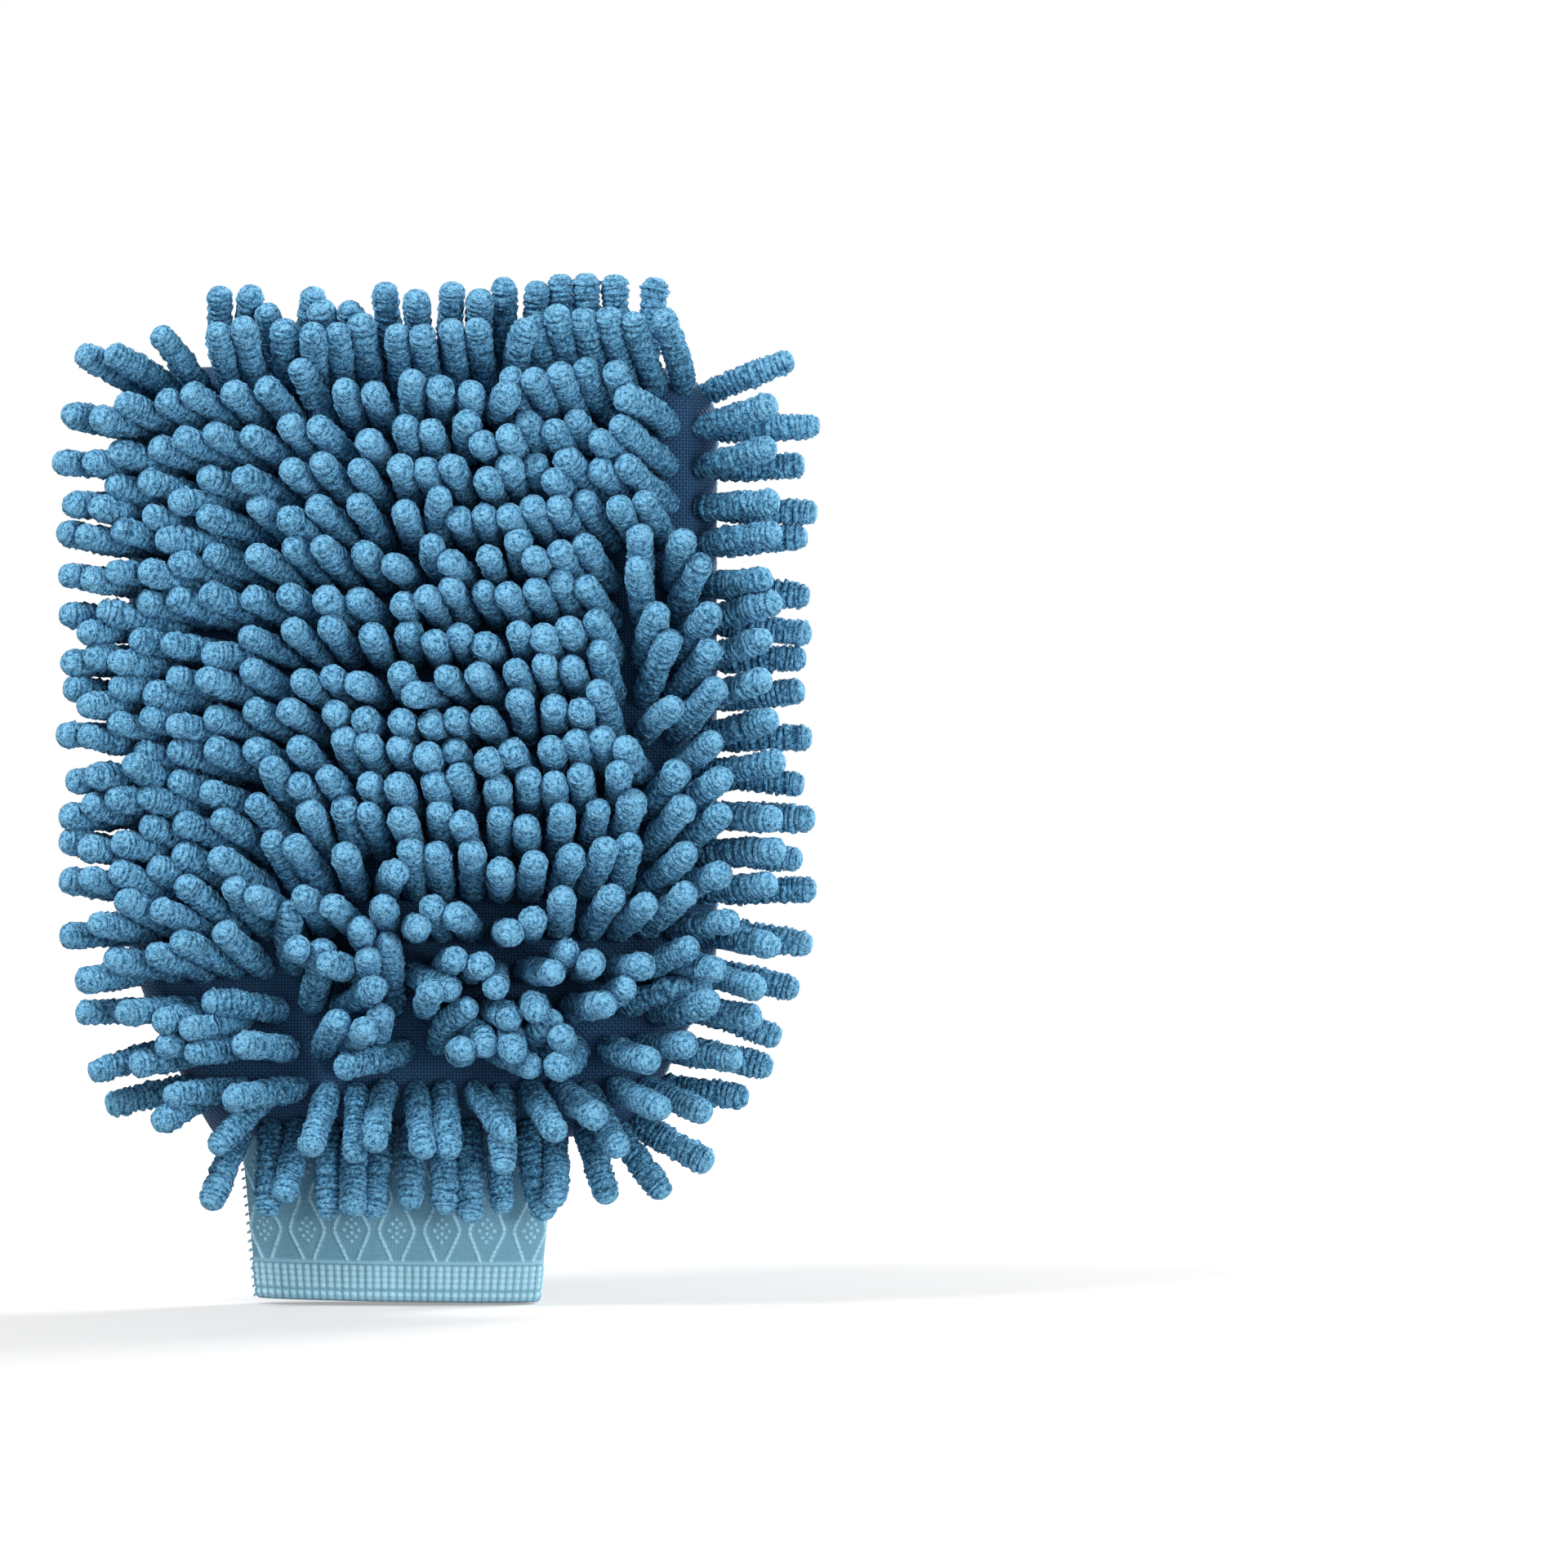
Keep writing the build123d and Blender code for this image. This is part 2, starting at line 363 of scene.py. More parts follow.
# the pile is untidy near the cuff, most of all where it is pressed together above the parting
heel_height, heel_fade, lowest_rows = 110, 30, 66
tangle_height, tangle_spread, tangle_half_width = 81, 12, 50
root_x, root_z = (roots[:, 0] - middle_x) / MM, roots[:, 2] / MM
unruly = 0.04 + 0.16 * np.clip((heel_height - root_z) / heel_fade, 0, 1)
unruly += 0.12 * (root_z < lowest_rows)
from_tangle = ((root_z - tangle_height) / tangle_spread) ** 2 + (root_x / tangle_half_width) ** 4
unruly += 0.3 * np.exp(-from_tangle)
lean = pile_lean(root_x, root_z) + dice.normal(0, 1, (noodle_count, 2)) * unruly[:, None]
uprightness = 0.9
leaning = normals * uprightness + np.stack([lean[:, 0], np.zeros(noodle_count), lean[:, 1]], -1)
leaning /= np.linalg.norm(leaning, axis=1, keepdims=True)
lengths = noodle_length * dice.normal(1, 0.04, noodle_count).clip(0.9, 1.1)
link_length = lengths / links

# each noodle's free shape: it leaves the cloth between square and leaning, then curls a
# little. A few curl more, and those low on the right edge droop.
curl = dice.normal(0, 0.026, (noodle_count, 3))
curl *= dice.choice([1.0, 2.4], (noodle_count, 1), p=[0.93, 0.07])
curl[:, 2] -= 0.07 * (root_x > 68) * (root_z < 165)
start_square, bend_per_link = 0.4, 0.35
heading = normals * start_square + leaning
chain = [roots]
for link in range(links):
    heading = heading + bend_per_link * (leaning - heading) + curl
    step = heading / np.linalg.norm(heading, axis=1, keepdims=True)
    chain.append(chain[-1] + step * link_length[:, None])
free_shape = np.stack(chain, 1)


def bag_distance(points):
    """How far points lie outside the bag's front face, and which way is out."""
    across = points[..., 0] - middle_x
    up = points[..., 2] - middle_z
    width = outline_half_width(np.clip(points[..., 2], mouth_z, fingertip_z))
    over_x = np.sign(across) * np.maximum(np.abs(across) - (width - edge_round), 0)
    over_z = np.sign(up) * np.maximum(np.abs(up) - (half_height - edge_round), 0)
    behind = np.minimum(points[..., 1] + (front_depth - edge_round), 0)
    way = np.stack([over_x, behind, over_z], -1)
    size = np.linalg.norm(way, axis=-1)
    return size - edge_round, way / np.maximum(size, 1e-6)[..., None]


def settle(shape, rounds):
    """Lets the noodles push each other apart and off the bag while they keep their length."""
    rounds_per_search = 8
    push_share, smooth_share = 0.30, 0.12
    points = shape.copy()
    owner = np.repeat(np.arange(noodle_count), links + 1)
    gap = 1.88 * noodle_radius
    softness = np.linspace(0.12, 0.035, links + 1)[None, :, None]
    for turn in range(rounds):
        if turn % rounds_per_search == 0:
            flat_points = points.reshape(-1, 3)
            square = (flat_points**2).sum(1)
            far = square[:, None] + square[None, :] - 2 * flat_points @ flat_points.T
            one, two = np.nonzero(far < (1.5 * gap) ** 2)
            keep = (one < two) & (owner[one] != owner[two])
            one, two = one[keep], two[keep]
        points += softness * (shape - points)
        flat_points = points.reshape(-1, 3)
        between = flat_points[two] - flat_points[one]
        distance = np.linalg.norm(between, axis=1)
        overlap = np.maximum(gap - distance, 0)
        push = between * (push_share * overlap / np.maximum(distance, 1e-6))[:, None]
        for axis in range(3):
            flat_points[:, axis] += np.bincount(two, push[:, axis], len(flat_points))
            flat_points[:, axis] -= np.bincount(one, push[:, axis], len(flat_points))
        points = flat_points.reshape(points.shape)
        outside, way = bag_distance(points[:, 2:])
        points[:, 2:] += way * np.maximum(noodle_radius - outside, 0)[..., None]
        points[:, 1:-1] += smooth_share * (points[:, :-2] + points[:, 2:] - 2 * points[:, 1:-1])
        points[:, 0] = roots
        for link in range(1, links + 1):
            run = points[:, link] - points[:, link - 1]
            run /= np.linalg.norm(run, axis=1, keepdims=True)
            points[:, link] = points[:, link - 1] + run * link_length[:, None]
    return points


settling_rounds = 220
centres = settle(free_shape, settling_rounds)


def along_curve(points, shares):
    """Smooth curves through each noodle's centres, read at shares from root to tip."""
    before = 2 * points[:, :1] - points[:, 1:2]
    after = 2 * points[:, -1:] - points[:, -2:-1]
    padded_points = np.concatenate([before, points, after], 1)
    place = np.clip(shares * links, 0, links - 1e-6)
    start = place.astype(int)
    t = (place - start)[None, :, None]
    a, b, c, d = (padded_points[:, start + k] for k in range(4))
    return 0.5 * (
        2 * b
        + (c - a) * t
        + (2 * a - 5 * b + 4 * c - d) * t**2
        + (3 * b - a - 3 * c + d) * t**3
    )


def master_noodle():
    """One straight noodle of radius 1 along Z from 0 to 1: tufted rings between tight creases,
    a neck at the root and a blunt round tip, spun from its profile."""
    ring_profile = ((0.06, 0.86), (0.30, 1.0), (0.80, 1.01))
    neck_size, neck_share, tip_bluntness = 0.70, 0.13, 2.5
    tip_share = 1.05 * noodle_radius / noodle_length
    profile = [(0.0, 0.0)]
    for ring in range(rings):
        for place, size in ring_profile:
            height = (ring + place) / rings
            into_tip = max(0.0, (height - (1 - tip_share)) / tip_share)
            neck = neck_size + 0.30 * min(1.0, height / neck_share)
            tip = (1 - into_tip**tip_bluntness) ** (1 / tip_bluntness)
            profile.append((size * neck * tip, height))
    profile.append((0.0, 1.0))
    bm = bmesh.new()
    ring_layer = bm.verts.layers.int.new("ring")
    station_layer = bm.verts.layers.int.new("station")
    verts = [bm.verts.new((radius, 0, height)) for radius, height in profile]
    for station, vert in enumerate(verts):
        vert[ring_layer] = min((station + 2) // 3, rings)
        vert[station_layer] = station
    edges = [bm.edges.new(pair) for pair in zip(verts, verts[1:])]
    bmesh.ops.spin(
        bm, geom=verts + edges, cent=(0, 0, 0), axis=(0, 0, 1), angle=2 * math.pi,
        steps=facets, use_merge=True,
    )
    bmesh.ops.remove_doubles(bm, verts=bm.verts, dist=1e-5)
    bmesh.ops.recalc_face_normals(bm, faces=bm.faces)
    mesh = bpy.data.meshes.new("master_noodle")
    bm.to_mesh(mesh)
    bm.free()
    return mesh


master = master_noodle()
local = positions(master)
ring_of, station_of = np.empty((2, len(local)), dtype=np.int32)
master.attributes["ring"].data.foreach_get("value", ring_of)
master.attributes["station"].data.foreach_get("value", station_of)
local_turn = np.arctan2(local[:, 1], local[:, 0])
reads = np.linspace(0, 1, 45)
curve = along_curve(centres, reads)
tangent = np.gradient(curve, axis=1)
tangent /= np.linalg.norm(tangent, axis=2, keepdims=True)
side = np.cross(tangent[:, 0], [0.31, 0.2, 0.93])
sides = []
for read in range(len(reads)):
    side = side - (side * tangent[:, read]).sum(1, keepdims=True) * tangent[:, read]
    side /= np.linalg.norm(side, axis=1, keepdims=True)
    sides.append(side)
sides = np.stack(sides, 1)
others = np.cross(tangent, sides)
thickness = noodle_radius * dice.normal(1.0, 0.03, noodle_count)
tones = dice.random(noodle_count)


def noodle_points(index):
    """The master noodle bent along one noodle's curve, its rings uneven, tilted and tufted."""
    slide = dice.normal(0, 0.17, rings + 1) / rings
    tilt = dice.normal(0, 0.42, (rings + 1, 1)) / rings
    tilt_way = dice.random(rings + 1) * 2 * math.pi
    size = 1 + dice.normal(0, 0.025, rings + 1)
    first_swell = dice.random() * 6
    swell = 1 + 0.035 * np.sin(first_swell + np.arange(rings + 1) * (0.5 + 0.3 * dice.random()))
    end = np.minimum(1, 6 * (1 - local[:, 2])) * np.minimum(1, 12 * local[:, 2])
    shift = slide[ring_of] + tilt[ring_of, 0] * np.cos(local_turn - tilt_way[ring_of])
    share = local[:, 2] + shift * end
    tuft = 1 + dice.normal(0, 0.055, len(local)) * end
    wide = thickness[index] * (size * swell)[ring_of] * tuft
    frame_at = [
        np.stack([np.interp(share, reads, way[index, :, axis]) for axis in range(3)], -1)
        for way in (curve, sides, others)
    ]
    across, aside = (local[:, 0] * wide)[:, None], (local[:, 1] * wide)[:, None]
    return frame_at[0] + across * frame_at[1] + aside * frame_at[2]


def paint(piece, layer_name, values):
    """Keeps one number per point on the piece, for its material to read."""
    layer = piece.data.attributes.new(layer_name, "FLOAT", "POINT")
    layer.data.foreach_set("value", values.astype(np.float32))


chenille = new_material(
    "chenille microfibre",
    (0.14, 0.40, 0.66),
    0.95,
    sheen=0.10,
    sheen_tint=(0.6, 0.85, 1.0),
    specular=0.08,
)
tone = node(chenille, "ShaderNodeAttribute", attribute_name="tone").outputs["Fac"]
along = node(chenille, "ShaderNodeAttribute", attribute_name="along").outputs["Fac"]
crest = node(chenille, "ShaderNodeAttribute", attribute_name="crest").outputs["Fac"]
place = node(chenille, "ShaderNodeTexCoord").outputs["Object"]
tufts = node(chenille, "ShaderNodeTexVoronoi", {"Vector": place, "Scale": 1700.0})
fibres = node(chenille, "ShaderNodeTexNoise", {"Vector": place, "Scale": 2400.0, "Detail": 3.0})
patches = node(chenille, "ShaderNodeTexNoise", {"Vector": place, "Scale": 900.0, "Detail": 5.0})
fleck = maths(chenille, "SUBTRACT", maths(chenille, "MULTIPLY", patches.outputs["Fac"], 2.1), 0.58)
# painted shade in the gaps between tufts; from here fleck also holds this shade
tuft_gap_shade = maths(chenille, "MULTIPLY", tufts.outputs["Distance"], -0.45)
fleck = maths(chenille, "ADD", fleck, tuft_gap_shade)
# painted shade in the creases between rings, lighter where crest is high
crease_shade = maths(chenille, "ADD", maths(chenille, "MULTIPLY", crest, 0.85), fleck)
crease_shade = node(
    chenille,
    "ShaderNodeMapRange",
    {"Value": crease_shade, "From Min": 0.2, "From Max": 0.9, "To Min": 0.42},
).outputs[0]
mottle_and_shade = maths(chenille, "ADD", fleck, maths(chenille, "MULTIPLY", tone, 0.14))
# painted shade and light: each noodle darker toward its root and lighter toward its tip, as the
# pile shades its lower part
mottle_and_shade = maths(chenille, "ADD", mottle_and_shade, maths(chenille, "MULTIPLY", along, 0.55))
mottle_and_shade = maths(chenille, "MULTIPLY", maths(chenille, "SUBTRACT", mottle_and_shade, 0.02), crease_shade)
chenille_shades = [
    (0.0, (0.013, 0.06, 0.125)),
    (0.35, (0.06, 0.23, 0.41)),
    (0.62, (0.14, 0.43, 0.71)),
    (0.95, (0.27, 0.65, 0.97)),
]
into_shader(chenille, "Base Color", ramp(chenille, mottle_and_shade, chenille_shades))
tuft_bump = bump(chenille, tufts.outputs["Distance"], -0.65 * MM)
fibre_bump = bump(chenille, fibres.outputs["Fac"], 0.4 * MM, below=tuft_bump)
into_shader(chenille, "Normal", fibre_bump)

# 1 on a ring's crest, 0 in the crease beside it, and between the two on the tip. The chenille
# material paints shade into the creases from it.
crest_of = np.ones(len(local))
crest_of[station_of % 3 == 1] = 0.0
crest_of[local[:, 2] > 0.93] = 0.75
for row, row_name in enumerate(row_names):
    members = np.nonzero(row_of == row)[0]
    bm = bmesh.new()
    for _ in members:
        bm.from_mesh(master)
    piece = new_piece("chenille_" + row_name, bm)
    points = [noodle_points(index) for index in members]
    move_to(piece.data, np.concatenate(points))
    paint(piece, "tone", np.repeat(tones[members], len(local)))
    # each point's share along its noodle, from which the chenille material paints shade toward the
    # root
    paint(piece, "along", np.tile(local[:, 2], len(members)))
    paint(piece, "crest", np.tile(crest_of, len(members)))
    smooth(piece)
    piece.data.materials.append(chenille)
    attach(piece, "root")
    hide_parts(row_name)


# ---------------------------------------------------------------------------------------
# Terry back: one panel of looped microfibre terry, its loops in ribs from cuff to
# fingertips. It is dented by handling, and gathered where the elastic cuff draws it in.

ribs_across = 89
cells_per_rib = 4
loop_rows = 134
cells_per_loop = 2
loop_height = 1.25 * MM
rib_wander = 0.45 * MM
loop_scatter = 0.5 * MM

terry_columns, terry_rows = ribs_across * cells_per_rib, loop_rows * cells_per_loop
terry, terry_point, terry_normal = cloth_on_bag(
    "looped_terry_panel", terry_columns, terry_rows, back_depth, 1
)


def slow_wander(u, v, seed):
    """A smooth wandering value from about -1 to 1 over lengths in millimetres."""
    total = 0
    for wave in range(5):
        angle = 2.4 * wave + seed
        pitch = 19 + 9 * wave
        run = (u * math.cos(angle) + v * math.sin(angle)) / pitch
        total = total + np.sin(run * 2.2 + seed * wave)
    return total / 3


def off_line(x, z, start, end):
    """Distance of each point from a line between two points, and its share along it."""
    start, end = np.array(start, float), np.array(end, float)
    line = end - start
    spot = np.stack([x, z], -1)
    share = np.clip(((spot - start) @ line) / (line @ line), 0, 1)
    return np.linalg.norm(spot - start - share[:, None] * line, axis=1), share


# soft hollows and swells from handling: two ends of a line in millimetres, from the mitt's
# middle and the cuff's mouth, their half width, and how far they sink (-) or rise (+)
hollows = [
    ((-6, 216), (-26, 150), 17, -3.6),
    ((-26, 150), (-46, 108), 13, -5.8),
    ((-46, 108), (-48, 88), 10, -6.0),
    ((30, 205), (20, 130), 24, 2.8),
    ((66, 240), (62, 185), 12, 1.6),
    ((-64, 225), (-68, 120), 13, 2.2),
    ((60, 112), (50, 80), 15, 3.4),
    ((2, 104), (-16, 70), 15, 4.2),
    ((-66, 100), (-56, 68), 11, 4.0),
    ((28, 98), (24, 70), 11, 3.2),
    ((40, 100), (38, 78), 7, -2.6),
]
# sharp folds gathered at the cuff's seam: seam end, far end, half width and depth
gathers = [
    ((37, 47), (50, 72), 4.0, 7.5),
    ((29, 48), (27, 62), 2.4, 3.0),
    ((14, 47), (6, 68), 3.4, 6.5),
    ((-2, 48), (0, 60), 2.4, 3.5),
    ((-13, 48), (-8, 62), 2.4, 3.0),
    ((-28, 47), (-50, 92), 5.0, 8.0),
    ((-44, 50), (-50, 62), 2.6, 3.0),
]

wear_x = (terry_point[:, 0] - middle_x) / MM
wear_z = terry_point[:, 2] / MM
form = 0.8 * slow_wander(wear_x, wear_z, 4.1) + 0.5 * slow_wander(1.7 * wear_x, 1.7 * wear_z, 0.6)
for start, end, width, rise in hollows:
    distance, _ = off_line(wear_x, wear_z, start, end)
    form = form + rise * np.exp(-((distance / width) ** 2))
for start, end, width, sink in gathers:
    distance, share = off_line(wear_x, wear_z, start, end)
    spread = width * (0.8 + 0.9 * share)
    crease_shape = np.exp(0.17 - np.sqrt((distance / spread) ** 2 + 0.03))
    form = form - sink * (1 - 0.75 * share) * crease_shape
# the hem rolls outwards where the cuff draws it in
hem_roll = 4.5
above_mouth = wear_z - mouth_z / MM
rolled_hem = np.exp(-(((above_mouth - 8) / 10) ** 2)) / (1 + np.exp((np.abs(wear_x) - 50) / 3))
form = form + hem_roll * rolled_hem
# everything fades out towards the seam
lip = np.clip((terry_point[:, 1] - 1 * MM) / (5 * MM), 0, 1)
lip = lip * lip * (3 - 2 * lip)

grid_column = np.tile(np.arange(terry_columns + 1), terry_rows + 1)
grid_row = np.repeat(np.arange(terry_rows + 1), terry_columns + 1)
rib = grid_column // cells_per_rib
rib_profile = np.array([0.0, 0.82, 1.0, 0.82])[grid_column % cells_per_rib]
stagger = dice.integers(0, 2, ribs_across + 1)[rib]
loop = (grid_row + stagger) // cells_per_loop
loop_size = dice.random((ribs_across + 1, loop_rows + 2))[rib, loop]
loop_crown = np.array([0.55, 1.0])[(grid_row + stagger) % cells_per_loop]
relief = rib_profile * (0.35 + 0.65 * loop_size) * loop_crown
lift = form * MM * lip + loop_height * (relief - 0.5) * np.clip(lip * 3, 0, 1)
wander = slow_wander(wear_x * 2.6, wear_z * 2.6, 2.2) + 0.8 * (dice.random(len(relief)) - 0.5)
moved = terry_point + terry_normal * lift[:, None]
moved[:, 0] += wander * rib_wander * lip
moved[:, 2] += (dice.random(len(relief)) - 0.5) * loop_scatter * lip
move_to(terry.data, moved)
# the loops' height, which the terry's material turns into painted shade in the grooves and lighter
# loop tops
paint(terry, "loops", relief)

terry_finish = new_material(
    "looped microfibre terry",
    (0.10, 0.38, 0.68),
    0.9,
    sheen=0.3,
    sheen_tint=(0.6, 0.85, 1.0),
    specular=0.12,
)
loops = node(terry_finish, "ShaderNodeAttribute", attribute_name="loops").outputs["Fac"]
place = node(terry_finish, "ShaderNodeTexCoord").outputs["Object"]
curls = node(terry_finish, "ShaderNodeTexVoronoi", {"Vector": place, "Scale": 900.0})
fluff = node(terry_finish, "ShaderNodeTexNoise", {"Vector": place, "Scale": 2400.0, "Detail": 2.0})
blotch = node(terry_finish, "ShaderNodeTexNoise", {"Vector": place, "Scale": 300.0, "Detail": 3.0})
# painted shade: the terry darker in the grooves between its loops and lighter on their tops; the
# blotches are its own uneven tone
terry_tone_and_shade = maths(terry_finish, "MULTIPLY", loops, 0.75)
patchy = maths(terry_finish, "MULTIPLY", blotch.outputs["Fac"], 0.35)
terry_tone_and_shade = maths(terry_finish, "ADD", terry_tone_and_shade, patchy)
# painted shade in the gaps between curls
curl_gap_shade = maths(terry_finish, "MULTIPLY", curls.outputs["Distance"], -0.3)
terry_tone_and_shade = maths(terry_finish, "ADD", terry_tone_and_shade, curl_gap_shade)
terry_shades = [
    (0.0, (0.01, 0.08, 0.19)),
    (0.3, (0.05, 0.25, 0.46)),
    (0.6, (0.16, 0.50, 0.79)),
    (0.9, (0.31, 0.70, 0.95)),
]
into_shader(terry_finish, "Base Color", ramp(terry_finish, terry_tone_and_shade, terry_shades))
curl_bump = bump(terry_finish, curls.outputs["Distance"], 0.3 * MM, 0.8)
fluff_bump = bump(terry_finish, fluff.outputs["Fac"], 0.12 * MM, 0.8, below=curl_bump)
into_shader(terry_finish, "Normal", fluff_bump)
terry.data.materials.append(terry_finish)
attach(terry, "root")
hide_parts("terry_back_panel")


# ---------------------------------------------------------------------------------------
# Cuff: an elastic jacquard knit tube, folded double at its ribbed welt. Raised yarn floats
# draw wavy upright lines that open into lozenges, every other one with a cluster inside.

_, cuff_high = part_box("cuff_band")
cuff_height = cuff_high[2]
mouth_half_width, mouth_half_depth = 39.5 * MM, 9.0 * MM
top_half_width, top_half_depth = cuff_high[0], cuff_high[1]
cuff_wall = 1.7 * MM
mouth_slant = 0.6 * MM
around_columns = 440
outer_rows = 132
inner_rows = 22
lozenge_pitch = 11.7 * MM
wave_height = 18.4 * MM
first_cluster = 20.2 * MM
line_swing = 1.6 * MM
bead_pitch = 1.25 * MM
bead_reach = 0.55 * MM
welt_top = 10.4 * MM
welt_rib_pitch = 2.14 * MM
welt_rows = np.array([2.0, 4.4, 6.1, 7.8, 9.4]) * MM
float_height = 0.6 * MM
course_height, course_pitch = 0.08 * MM, 1.66 * MM

bm = bmesh.new()
bm.loops.layers.uv.new("Knit")
all_rows = outer_rows + inner_rows
bmesh.ops.create_grid(bm, x_segments=around_columns, y_segments=all_rows, size=1)
cuff = new_piece("jacquard_cuff", bm)
grid = positions(cuff.data)
level = np.round((grid[:, 1] + 1) / 2 * all_rows).astype(int)
outside = level >= inner_rows
height = np.where(
    outside,
    (level - inner_rows) / outer_rows * cuff_height,
    (inner_rows - level) / inner_rows * cuff_height,
)
oval_turn = np.linspace(0, 2 * math.pi, 4001)
oval = np.stack([mouth_half_width * np.sin(oval_turn), mouth_half_depth * np.cos(oval_turn)], -1)
run = np.concatenate([[0], np.cumsum(np.linalg.norm(np.diff(oval, axis=0), axis=1))])
girth = run[-1]
around = (grid[:, 0] + 1) / 2 * girth
angle = np.interp(around, run, oval_turn)
a = mouth_half_width + (top_half_width - mouth_half_width) * np.minimum(height / cuff_height, 1)
b = mouth_half_depth + (top_half_depth - mouth_half_depth) * np.minimum(height / cuff_height, 1)
direction = np.stack([np.sin(angle) / a, np.cos(angle) / b, np.zeros(len(angle))], -1)
direction /= np.linalg.norm(direction, axis=1, keepdims=True)


def bead(distance, reach):
    """Height of a rounded bead, from 1 at its middle to 0 where its reach ends."""
    return np.sqrt(np.clip(1 - (distance / reach) ** 2, 0, 1))


def knit_relief(s, z):
    """Height of the raised floats, from 0 to 1, at a place round and up the cuff."""
    relief = np.zeros(len(s))
    line_pitch = lozenge_pitch / 2
    wave = np.cos(2 * math.pi * (z - first_cluster) / wave_height)
    swing = line_swing * np.arcsin(0.94 * wave) / np.arcsin(0.94)
    along_line = (np.mod(z / bead_pitch, 1) - 0.5) * bead_pitch
    for neighbour in (-1, 0, 1):
        line = np.floor(s / line_pitch) + neighbour
        parity = np.where(np.mod(line, 2) == 0, 1.0, -1.0)
        middle = (line + 0.5) * line_pitch + parity * swing
        relief = np.maximum(relief, bead(np.hypot(s - middle, 0.75 * along_line), bead_reach))
    middle_s = np.round(s / lozenge_pitch) * lozenge_pitch
    middle_z = first_cluster + np.round((z - first_cluster) / wave_height) * wave_height
    for spot_s, spot_z in cluster:
        away = np.hypot(s - middle_s - spot_s * MM, z - middle_z - spot_z * MM)
        relief = np.maximum(relief, bead(away, 0.9 * bead_reach))
    return relief


# one cluster of floats: places of its stitches in millimetres from its middle
cluster = [(0, 3.1), (-1.1, 1.9), (1.1, 1.9), (-1.9, 0), (1.9, 0)]
cluster += [(-1.1, -1.9), (1.1, -1.9), (0, -3.1), (0, 0.8), (0, -0.8)]

lozenges = round(girth / lozenge_pitch)
relief = knit_relief(around * lozenges * lozenge_pitch / girth, height)
ribs = round(girth / welt_rib_pitch)
across_rib = (np.mod(around / girth * ribs, 1) - 0.5) * welt_rib_pitch
nearest_row = np.abs(height[:, None] - welt_rows).min(1)
welt_relief = np.maximum(
    bead(np.hypot(across_rib, 1.1 * nearest_row), 0.92 * MM), 0.45 * bead(across_rib, 0.85 * MM)
)
# a plain groove crosses the ribs above the lowest row
welt_relief *= np.where(np.abs(height - 3.2 * MM) < 0.35 * MM, 0.0, 1.0)
in_welt = height < welt_top
border_width = 1.2 * MM
border = 0.5 * bead(height - welt_top - border_width / 2, 0.45 * MM)
above_welt = np.where(height < welt_top + border_width, border, relief)
relief = np.where(in_welt, welt_relief, above_welt) * outside
laid_in = 0.5 + 0.5 * np.cos(2 * math.pi * height / course_pitch)
knit_lift = float_height * relief + course_height * laid_in * outside * ~in_welt
# the knit turns over a round fold at the mouth, from the outside face to the inside one
fold = np.clip(height / (1.2 * MM), 0, 1)
turned_in = cuff_wall / 2 * (1 - np.sqrt(1 - (1 - fold) ** 2))
wall = np.where(outside, -turned_in, -cuff_wall + turned_in)
# the mouth's edge waves a little, less with height
mouth_sway, sway_reach = 1.2 * MM, 25 * MM
sway = mouth_sway * np.sin(angle * 2 + 0.6) * np.exp(-height / sway_reach)
point = np.stack([a * np.sin(angle), b * np.cos(angle), height], -1)
point += direction * (wall + knit_lift)[:, None]
point[:, 1] += sway * np.abs(np.sin(angle)) * 0.6
point[:, 2] += mouth_slant * (1 - point[:, 0] / mouth_half_width) * (1 - height / cuff_height)
move_to(cuff.data, point)
map_cloth(cuff, "Knit", around, height)
paint(cuff, "floats", relief)
bm = bmesh.new()
bm.from_mesh(cuff.data)
bmesh.ops.remove_doubles(bm, verts=bm.verts, dist=0.01 * MM)
bmesh.ops.recalc_face_normals(bm, faces=bm.faces)
bm.to_mesh(cuff.data)
bm.free()
smooth(cuff)

wale_pitch, knit_row_pitch = 0.48 * MM, 0.55 * MM
knit = new_material(
    "jacquard knit",
    (0.30, 0.53, 0.68),
    0.8,
    sheen=0.2,
    sheen_tint=(0.85, 0.95, 1.0),
    specular=0.25,
)
floats = node(knit, "ShaderNodeAttribute", attribute_name="floats").outputs["Fac"]
where = node(knit, "ShaderNodeUVMap", uv_map="Knit").outputs["UV"]
split_knit = node(knit, "ShaderNodeSeparateXYZ", {"Vector": where})
wale, course = (
    maths(knit, "SINE", maths(knit, "MULTIPLY", split_knit.outputs[way], 2 * math.pi / pitch))
    for way, pitch in (("X", wale_pitch), ("Y", knit_row_pitch))
)
fabric = maths(
    knit, "ADD", maths(knit, "MULTIPLY", wale, 0.6), maths(knit, "MULTIPLY", course, 0.4)
)
place = node(knit, "ShaderNodeTexCoord").outputs["Object"]
lint = node(knit, "ShaderNodeTexNoise", {"Vector": place, "Scale": 2600.0, "Detail": 3.0})
shade = maths(knit, "MULTIPLY", floats, 0.65)
shade = maths(knit, "ADD", shade, maths(knit, "MULTIPLY", lint.outputs["Fac"], 0.3))
shade = maths(knit, "ADD", shade, maths(knit, "MULTIPLY", fabric, 0.08))
knit_shades = [(0.0, (0.12, 0.30, 0.42)), (0.25, (0.25, 0.52, 0.68)), (0.7, (0.53, 0.86, 1.0))]
into_shader(knit, "Base Color", ramp(knit, shade, knit_shades))
into_shader(knit, "Normal", bump(knit, fabric, 0.1 * MM, 0.7))
cuff.data.materials.append(knit)
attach(cuff, "root")
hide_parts("cuff_band")


# ---------------------------------------------------------------------------------------
# Threads and laid-in rubber yarns: polyester overlock thread over the turned-in edges, and
# covered rubber rings inside the cuff. Their construction solids are shown as they are.

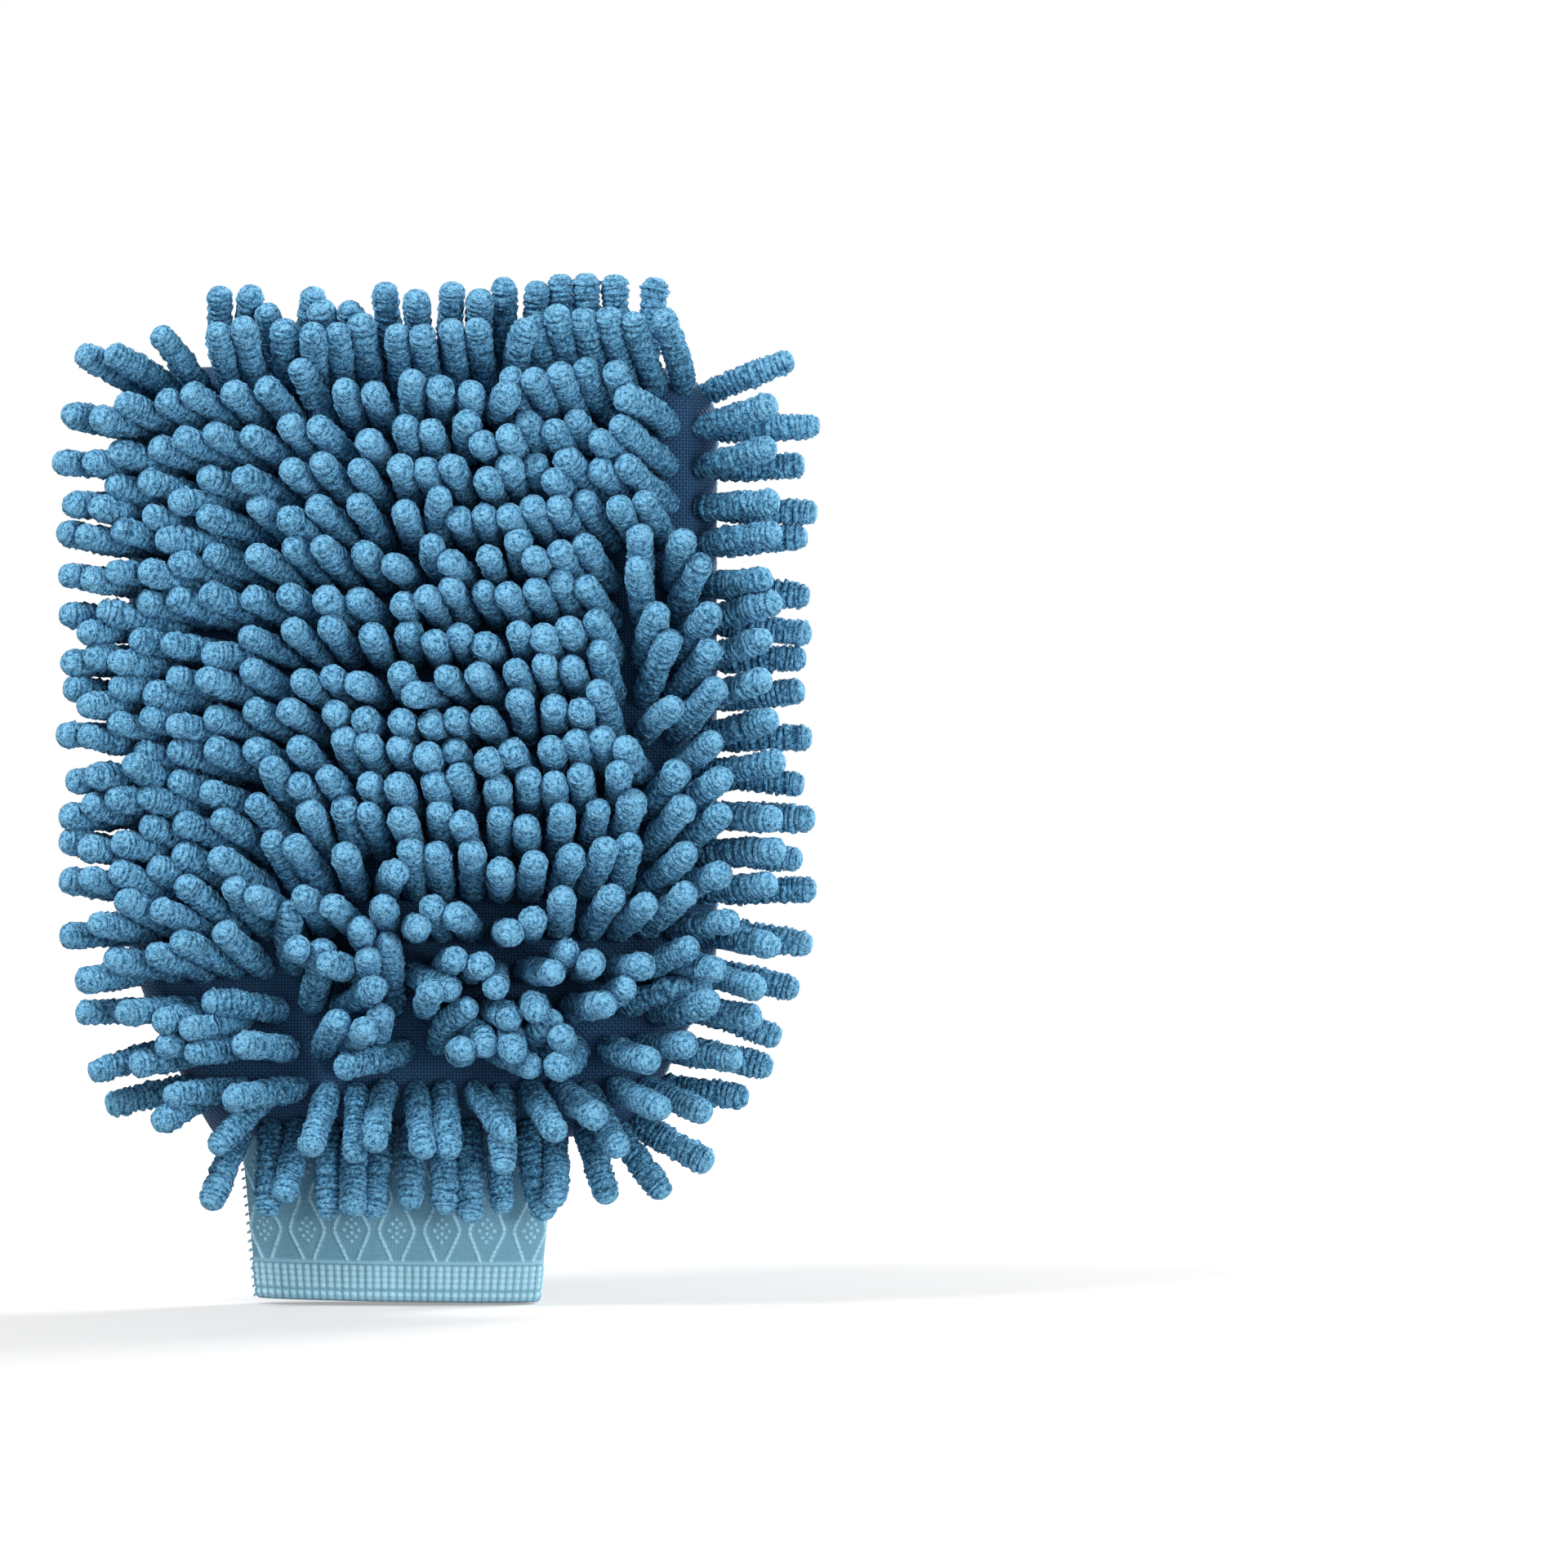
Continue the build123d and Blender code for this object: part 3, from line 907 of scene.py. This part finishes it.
sewing_thread = new_material("polyester sewing thread", (0.10, 0.30, 0.52), 0.6)
pale_thread = new_material("pale overlock thread", (0.30, 0.54, 0.70), 0.6)
rubber_yarn = new_material("covered rubber yarn", (0.60, 0.68, 0.72), 0.7)
twists = ((sewing_thread, 0.8 * MM), (pale_thread, 0.4 * MM), (rubber_yarn, 0.5 * MM))
for material, pitch in twists:
    spot = node(material, "ShaderNodeTexCoord").outputs["Object"]
    strands = node(
        material, "ShaderNodeTexWave", {"Vector": spot, "Scale": 0.3 / pitch, "Distortion": 1.5}
    )
    shader = material.node_tree.nodes["Principled BSDF"]
    base = np.array(shader.inputs["Base Color"].default_value[:3])
    # painted shade: each thread darker in the grooves of its twist, where its bump is low
    twist_shades = [(0.0, base * 0.75), (1.0, base * 1.1)]
    into_shader(material, "Base Color", ramp(material, strands.outputs["Fac"], twist_shades))
    into_shader(material, "Normal", bump(material, strands.outputs["Fac"], 0.1 * MM))
for name, material in (
    ("panel_seam_thread", sewing_thread),
    ("cuff_join_thread", sewing_thread),
    ("cuff_side_seam_thread", pale_thread),
    ("cuff_elastic_yarns", rubber_yarn),
):
    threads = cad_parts[name]
    threads.data.materials.clear()
    threads.data.materials.append(material)


# ---------------------------------------------------------------------------------------
# Stage: a white paper floor that glows white away from the mitt and keeps its shadow near
# it, a white surround, a soft window light at the upper left, one light behind and two weak
# fills, and a long lens square to the chenille face.

floor_half_size, floor_drop = 4, 0.5 * MM
bm = bmesh.new()
bmesh.ops.create_grid(bm, x_segments=1, y_segments=1, size=floor_half_size)
bmesh.ops.translate(bm, verts=bm.verts, vec=(0, 0, -floor_drop))
floor = new_piece("floor", bm)
paper = new_material("white paper", (0.5, 0.5, 0.5), 0.9, specular=0.1)
rays = node(paper, "ShaderNodeLightPath").outputs
seen = maths(paper, "MAXIMUM", rays["Is Camera Ray"], rays["Is Glossy Ray"])
paper.node_tree.nodes["Principled BSDF"].inputs["Emission Color"].default_value = (1, 1, 1, 1)
spot = node(paper, "ShaderNodeTexCoord").outputs["Object"]
away = node(paper, "ShaderNodeVectorMath", {0: spot}, operation="LENGTH").outputs["Value"]
glow = node(
    paper,
    "ShaderNodeMapRange",
    {"Value": away, "From Min": 0.3, "From Max": 1.0, "To Min": 0.34, "To Max": 0.9},
).outputs[0]
into_shader(paper, "Emission Strength", maths(paper, "MULTIPLY", seen, glow))
floor.data.materials.append(paper)

world = bpy.data.worlds.new("studio")
bpy.context.scene.world = world
world.use_nodes = True
world_nodes, world_links = world.node_tree.nodes, world.node_tree.links
backdrop = world_nodes["Background"]
backdrop.inputs["Color"].default_value = (1, 1, 1, 1)
path = world_nodes.new("ShaderNodeLightPath")
backdrop_seen = world_nodes.new("ShaderNodeMath")
backdrop_seen.operation = "MAXIMUM"
world_links.new(path.outputs["Is Camera Ray"], backdrop_seen.inputs[0])
world_links.new(path.outputs["Is Glossy Ray"], backdrop_seen.inputs[1])
strength = world_nodes.new("ShaderNodeMapRange")
world_links.new(backdrop_seen.outputs[0], strength.inputs["Value"])
strength.inputs["To Min"].default_value = 0.25
strength.inputs["To Max"].default_value = 1.0
world_links.new(strength.outputs[0], backdrop.inputs["Strength"])


def square_light(name, place, aim, size, watts):
    """A soft square lamp that stands at place and faces aim."""
    light = bpy.data.lights.new(name, "AREA")
    light.shape = "SQUARE"
    light.size = size
    light.energy = watts
    lamp = bpy.data.objects.new(name, light)
    bpy.context.collection.objects.link(lamp)
    lamp.location = place
    direction = Vector(aim) - Vector(place)
    lamp.rotation_euler = direction.to_track_quat("-Z", "Y").to_euler()


centre = (middle_x, 0, middle_z)
cuff_spot = (0.02, 0, 0.04)
square_light("window_light", (-0.85, -0.68, 1.25), centre, 0.45, 20.5)
square_light("fill_light", (0.9, -1.0, 0.5), centre, 1.0, 6.5)
square_light("low_light", (0.75, -0.75, 0.0), cuff_spot, 0.4, 5.0)
square_light("back_light", (0.95, 0.7, 0.75), centre, 0.45, 20)

lens = 150.0
sensor = 36.0
view_width = 432 * MM
camera_x, camera_z, pile_front = 0.108, 0.145, 0.03
camera_distance = view_width * lens / sensor
camera_data = bpy.data.cameras.new("camera")
camera_data.lens = lens
camera_data.sensor_width = sensor
camera_data.clip_end = 20
camera = bpy.data.objects.new("camera", camera_data)
bpy.context.collection.objects.link(camera)
camera.location = (camera_x, -camera_distance - pile_front, camera_z)
camera.rotation_euler = (math.pi / 2, 0, 0)
bpy.context.scene.camera = camera
bpy.context.scene.view_settings.view_transform = "Standard"
